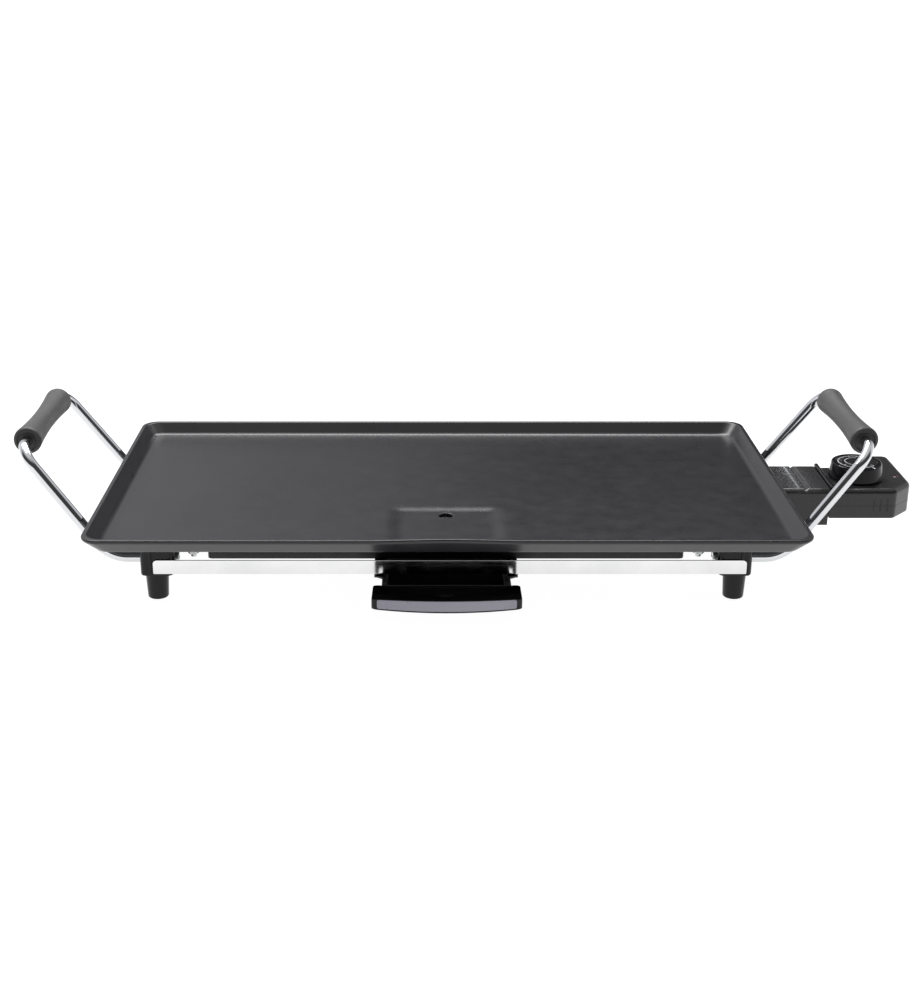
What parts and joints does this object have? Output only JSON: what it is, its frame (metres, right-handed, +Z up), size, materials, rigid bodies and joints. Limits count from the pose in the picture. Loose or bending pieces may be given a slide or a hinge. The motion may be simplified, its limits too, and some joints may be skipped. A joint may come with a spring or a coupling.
{
  "type": "electric griddle",
  "caption": "Table griddle with a shallow rimmed cooking plate, looped end handles, a pull-out drip tray and a plug-in heat control with a rotary knob.",
  "frame": {"origin": "on the table, in the middle of the object's box from the left grip to the control's outer face and from the plate's front rim to its rear rim; the middle of the cooking plate is 20 mm to the left of it", "axes": "+X to the user's right, towards the control; +Y away from the user, to the rear; +Z up"},
  "size_m": [0.6601, 0.27, 0.1194],
  "materials": {
    "nonstick_coat": "dark satin non-stick coating on pressed aluminium",
    "bare_aluminium": "plain cast aluminium",
    "element_sheath": "heat-browned steel sheath",
    "pin_nickel": "nickel-plated contact pins",
    "ceramic_white": "unglazed ceramic",
    "galvanised_sheet": "galvanised sheet steel",
    "black_steel": "black painted sheet steel",
    "zinc_fastener": "zinc-plated fasteners",
    "rod_chrome": "polished chrome plate",
    "rail_chrome": "bright chromed strip",
    "grip_plastic": "matte dark moulded grip",
    "leg_plastic": "satin black heat-proof moulding",
    "tray_enamel": "gloss black enamelled steel",
    "tray_gloss": "gloss black moulding",
    "insert_grey": "satin grey inlay",
    "control_black": "semi-gloss black moulding",
    "knob_black": "gloss black moulding",
    "dial_print": "black disc with a pale printed scale",
    "bakelite_brown": "dark moulded bakelite",
    "contact_brass": "plain brass",
    "probe_steel": "stainless sensor tube",
    "blade_bronze": "spring bronze",
    "lamp_glass": "clear neon bulb",
    "lens_red": "dark translucent indicator lens",
    "gland_rubber": "black rubber bush"
  },
  "bodies": {
    "griddle": {"griddle_plate": "nonstick_coat", "drain_spout": "bare_aluminium", "heating_element": "element_sheath", "element_clamps": "zinc_fastener", "terminal_pins": "pin_nickel", "terminal_insulators": "ceramic_white", "earth_pin": "pin_nickel", "probe_boss": "bare_aluminium", "reflector_pan": "black_steel", "leg_brackets": "black_steel", "leg_screws": "zinc_fastener", "plate_studs": "zinc_fastener", "stud_spacers": "zinc_fastener", "stud_nuts": "zinc_fastener", "rail_nuts": "zinc_fastener", "socket_shroud": "control_black", "socket_bracket": "black_steel", "bracket_rivets": "zinc_fastener", "socket_screws": "zinc_fastener", "leg_front_right": "leg_plastic", "leg_front_left": "leg_plastic", "leg_rear_right": "leg_plastic", "leg_rear_left": "leg_plastic", "handle_rod_right": "rod_chrome", "handle_rod_left": "rod_chrome", "handle_grip_right": "grip_plastic", "handle_grip_left": "grip_plastic", "rail_front": "rail_chrome", "rail_rear": "rail_chrome", "tray_guide_right": "black_steel", "tray_guide_left": "black_steel"},
    "drip_tray": {"drip_tray": "tray_enamel", "tray_handle": "tray_gloss", "tray_handle_insert": "insert_grey", "tray_handle_screws": "zinc_fastener"},
    "control": {"control_lower_housing": "control_black", "control_upper_housing": "control_black", "plug_nose": "bakelite_brown", "contact_sleeves": "contact_brass", "sensor_probe": "probe_steel", "thermostat_frame": "galvanised_sheet", "contact_stack": "ceramic_white", "switch_blade": "blade_bronze", "indicator_lamp": "lamp_glass", "indicator_lens": "lens_red", "housing_screws": "zinc_fastener", "cord_gland": "gland_rubber"},
    "knob": {"control_knob": "knob_black", "knob_dial": "dial_print", "knob_shaft": "probe_steel", "shaft_clip": "zinc_fastener"}
  },
  "joints": [
    {"name": "tray_slide", "type": "slide", "parent": "griddle", "child": "drip_tray", "axis": [0, -1, 0], "range_m": [0, 0.12]},
    {"name": "control_plug", "type": "slide", "parent": "griddle", "child": "control", "axis": [1, 0, 0], "range_m": [0, 0.11]},
    {"name": "knob_turn", "type": "hinge", "parent": "control", "child": "knob", "pos_m": [0.291, 0, 0.07], "axis": [0, 0, -1], "range_deg": [0, 270]}
  ]
}
